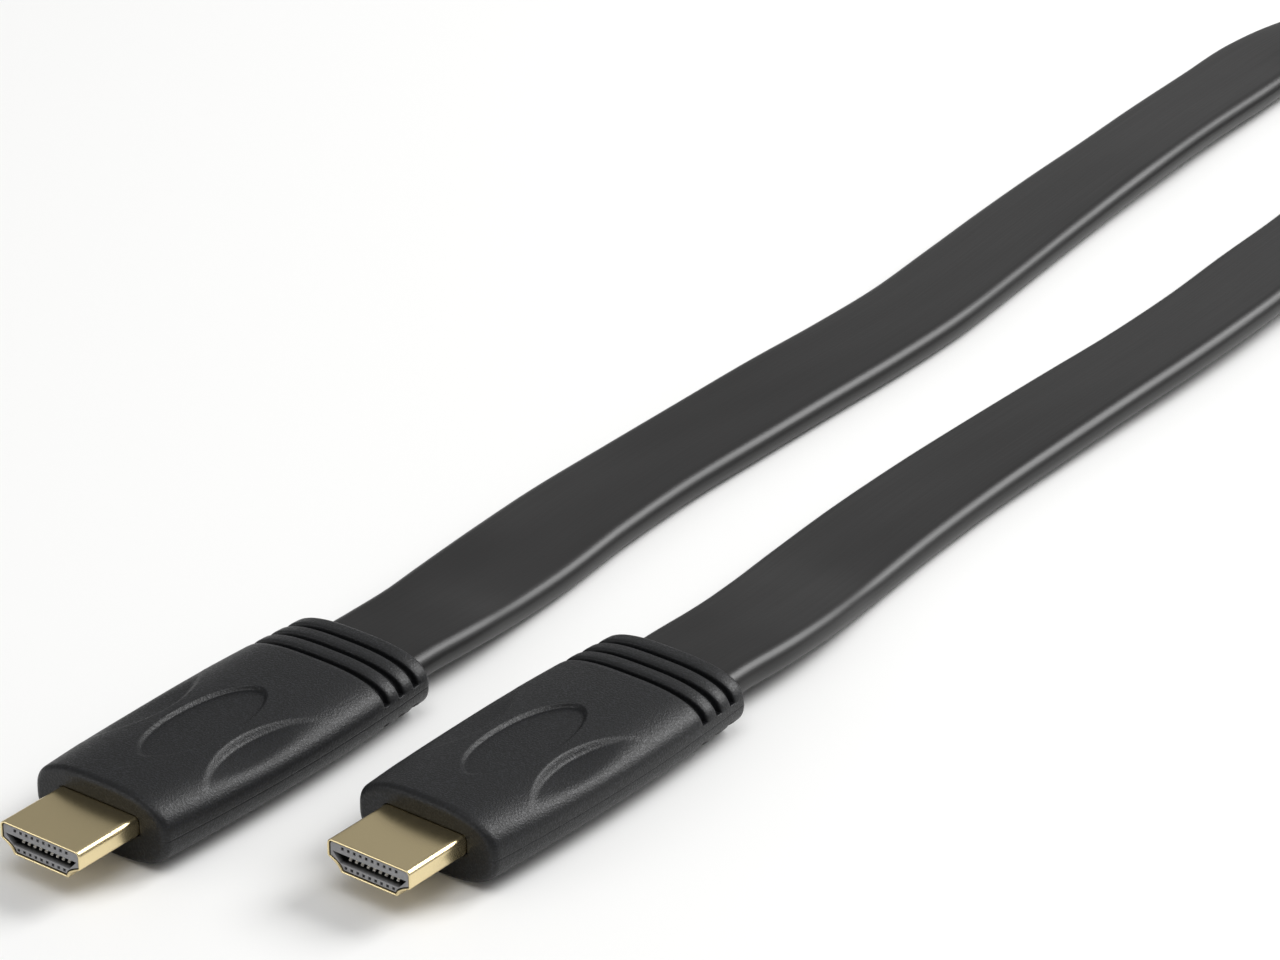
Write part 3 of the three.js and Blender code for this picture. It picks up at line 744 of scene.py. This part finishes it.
# Gold plate on pressed steel: pale gold and bright, with faint clouds drawn out along the nose
goldLook = {
    "colour": "#e8d6a8",
    "roughness": 0.2,
    "smoothest": 0.22,
    "roughest": 0.29,
    "cloudsAcross": 1500.0,
    "cloudsAlong": 300.0,
}
goldMaterial, tree, shader = startMaterial("goldPlatedSteel", {
    "Base Color": linear(goldLook["colour"]),
    "Metallic": 1.0,
    "Roughness": goldLook["roughness"],
})
place = addNode(tree, "ShaderNodeTexCoord")
cloudScale = (goldLook["cloudsAcross"], goldLook["cloudsAlong"], goldLook["cloudsAcross"])
rolled = addNode(tree, "ShaderNodeMapping", values={"Scale": cloudScale},
                 links={"Vector": place.outputs["Object"]})
clouds = addNode(tree, "ShaderNodeTexNoise", values={"Scale": 1.0, "Detail": 3.0},
                 links={"Vector": rolled.outputs[0]})
bump = addNode(tree, "ShaderNodeBump", values={"Strength": 0.02, "Distance": 0.00001},
               links={"Height": clouds.outputs["Fac"]})
tree.links.new(bump.outputs[0], shader.inputs["Normal"])
shine = addNode(tree, "ShaderNodeMapRange",
                values={"To Min": goldLook["smoothest"], "To Max": goldLook["roughest"]},
                links={"Value": clouds.outputs["Fac"]})
tree.links.new(shine.outputs[0], shader.inputs["Roughness"])

# Glass-filled nylon of the insulator: mid grey and matt on its face. A little way behind the face
# its colour turns black, a painted shade for the slot and the small square holes, where light hardly reaches.
insulatorLook = {
    "light": "#98989a",
    "dark": "#7e7e80",
    # painted shade: the black that the insulator's colour turns to behind its face
    "inside": "#060606",
    "face": -10.95,
    "paintedShadeFade": 0.7,
}


def insulatorMaterial(name, second):
    # share = (y - face) / fade in the plug's own frame, where y runs from the face towards the cord; share
    # mixes the colour towards black, a painted shade
    material, tree, shader = startMaterial(name, {
        "Base Color": linear(insulatorLook["light"]),
        "Roughness": 0.55,
        "IOR": 1.53,
    })
    place = addNode(tree, "ShaderNodeTexCoord")
    mottle = addNode(tree, "ShaderNodeTexNoise", values={"Scale": 1800.0, "Detail": 3.0},
                     links={"Vector": place.outputs["Object"]})
    tint = addNode(tree, "ShaderNodeMix", settings={"data_type": "RGBA"},
                   values={"A": linear(insulatorLook["dark"]), "B": linear(insulatorLook["light"])},
                   links={"Factor": mottle.outputs["Fac"]})
    faceMiddle = toRow(plugPlace(second)([[0, insulatorLook["face"], 0]]))[0]
    inward = toRow(plugPlace(second)([[0, insulatorLook["face"] + 1, 0]]))[0] - faceMiddle
    inward /= np.linalg.norm(inward)
    fromFace = addNode(tree, "ShaderNodeVectorMath", settings={"operation": "SUBTRACT"},
                       values={1: faceMiddle.tolist()}, links={0: place.outputs["Object"]})
    depth = addNode(tree, "ShaderNodeVectorMath", settings={"operation": "DOT_PRODUCT"},
                    values={1: inward.tolist()}, links={0: fromFace.outputs[0]})
    share = addNode(tree, "ShaderNodeMapRange", values={"From Max": insulatorLook["paintedShadeFade"] * mm},
                    links={"Value": depth.outputs["Value"]})
    # painted shade: the colour is mixed to black behind the face, where the slot and holes lie in shade
    shaded = addNode(tree, "ShaderNodeMix", settings={"data_type": "RGBA"},
                     values={"B": linear(insulatorLook["inside"])},
                     links={"Factor": share.outputs[0], "A": tint.outputs["Result"]})
    tree.links.new(shaded.outputs["Result"], shader.inputs["Base Color"])
    bump = addNode(tree, "ShaderNodeBump", values={"Strength": 0.3, "Distance": 0.00002},
                   links={"Height": mottle.outputs["Fac"]})
    tree.links.new(bump.outputs[0], shader.inputs["Normal"])
    return material


insulatorLooks = {
    "plug_a": insulatorMaterial("nylonWithPaintedShade", False),
    "plug_b": insulatorMaterial("nylonWithPaintedShadeSecond", True),
}

# Contact springs: pale plated metal, satin from stamping, with patches rubbed a little smoother
contactLook = {
    "colour": "#fbf7ee",
    "roughness": 0.45,
    "smoothest": 0.4,
    "roughest": 0.55,
    "patchesPerMetre": 3000.0,
}
contactMaterial, tree, shader = startMaterial("platedSpringBronze", {
    "Base Color": linear(contactLook["colour"]),
    "Metallic": 1.0,
    "Roughness": contactLook["roughness"],
})
place = addNode(tree, "ShaderNodeTexCoord")
rubbed = addNode(tree, "ShaderNodeTexNoise", values={"Scale": contactLook["patchesPerMetre"], "Detail": 2.0},
                 links={"Vector": place.outputs["Object"]})
shine = addNode(tree, "ShaderNodeMapRange",
                values={"To Min": contactLook["smoothest"], "To Max": contactLook["roughest"]},
                links={"Value": rubbed.outputs["Fac"]})
tree.links.new(shine.outputs[0], shader.inputs["Roughness"])

# Woven nylon strap: black and dull, with crossing threads that stand out a little paler
strapLook = {
    "colour": "#222226",
    "between": "#151518",
    "thread": "#2f2f34",
    "threadSpacing": 0.8,
    "threadDepth": 0.00015,
}
strapMaterial, tree, shader = startMaterial("wovenNylon", {
    "Base Color": linear(strapLook["colour"]),
    "Roughness": 0.85,
    "IOR": 1.53,
})
flow = addNode(tree, "ShaderNodeUVMap", settings={"uv_map": "flow"})
threadScale = 1 / (strapLook["threadSpacing"] * mm * 3.14)
threads = [addNode(tree, "ShaderNodeTexWave", settings={"bands_direction": direction},
                   values={"Scale": threadScale, "Distortion": 0.6},
                   links={"Vector": flow.outputs[0]}) for direction in ("X", "Y")]
weave = addNode(tree, "ShaderNodeMath", settings={"operation": "MAXIMUM"},
                links={0: threads[0].outputs["Fac"], 1: threads[1].outputs["Fac"]})
bump = addNode(tree, "ShaderNodeBump", values={"Strength": 0.9, "Distance": strapLook["threadDepth"]},
               links={"Height": weave.outputs[0]})
tree.links.new(bump.outputs[0], shader.inputs["Normal"])
tint = addNode(tree, "ShaderNodeMix", settings={"data_type": "RGBA"},
               values={"A": linear(strapLook["between"]), "B": linear(strapLook["thread"])},
               links={"Factor": weave.outputs[0]})
tree.links.new(tint.outputs["Result"], shader.inputs["Base Color"])
print("materials made")


# Each piece gets its material and rides on the frame
dress(cordPiece, cordMaterial)
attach(cordPiece, "root")
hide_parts("cord_run_a", "cord_run_b", "cord_coil")
dress(strapPiece, strapMaterial)
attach(strapPiece, "root")
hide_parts("coil_tie")
for letter, prefix in (("A", "plug_a"), ("B", "plug_b")):
    dress(covers[letter], coverMaterial)
    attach(covers[letter], "root")
    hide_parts(prefix + "_cover")
    dress(shells[letter], goldMaterial)
    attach(shells[letter], "root")
    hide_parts(prefix + "_shell")
for name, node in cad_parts.items():
    if "insulator" in name:
        dress(node, insulatorLooks[name[:6]])
    elif "contact" in name:
        dress(node, contactMaterial)
exitPoint = toRow(plugPlace(False)([[0, cordFacts["rearOfCover"] + cordFacts["endGap"], 0]]))[0]
print("pieces ride on the frame")


# A white table under large soft lights
floorMesh = bpy.data.meshes.new("floor")
floorMesh.from_pydata([(-6, -6, 0), (6, -6, 0), (6, 6, 0), (-6, 6, 0)], [], [(0, 1, 2, 3)])
floor = bpy.data.objects.new("floor", floorMesh)
bpy.context.scene.collection.objects.link(floor)
floorMaterial, tree, shader = startMaterial("whiteTable", {"Base Color": linear("#f4f4f3"), "Roughness": 0.6})
dress(floor, floorMaterial)

lights = {
    "backRightSoft": {"spot": (0.55, 1.15, 0.95), "aim": (0.0, 0.05, 0.0), "size": 0.8, "power": 21.0},
    "topSoft": {"spot": (0.25, -0.25, 1.5), "aim": (0.0, 0.05, 0.0), "size": 1.1, "power": 8.0},
    "backLeftCard": {"spot": (-0.83, 1.5, 0.68), "aim": (0.0, 0.2, 0.0), "size": 0.6, "power": 0.45},
    "frontFill": {"spot": (-0.7, -1.1, 0.4), "aim": (0.0, 0.0, 0.0), "size": 0.6, "power": 3.0},
}
for name, facts in lights.items():
    data = bpy.data.lights.new(name, "AREA")
    data.energy = facts["power"]
    data.size = facts["size"]
    lamp = bpy.data.objects.new(name, data)
    spot, aim = np.array(facts["spot"]), np.array(facts["aim"])
    away = (spot - aim) / np.linalg.norm(spot - aim)
    side = np.cross([0, 0, 1], away)
    side /= np.linalg.norm(side)
    top = np.cross(away, side)
    lamp.matrix_world = Matrix([[side[k], top[k], away[k], spot[k]] for k in range(3)] + [[0, 0, 0, 1]])
    bpy.context.scene.collection.objects.link(lamp)
world = bpy.data.worlds.new("studio")
world.use_nodes = True
world.node_tree.nodes["Background"].inputs["Color"].default_value = (1, 1, 1, 1)
world.node_tree.nodes["Background"].inputs["Strength"].default_value = 0.32
bpy.context.scene.world = world
bpy.context.scene.view_settings.view_transform = "Standard"
print("floor and light set")
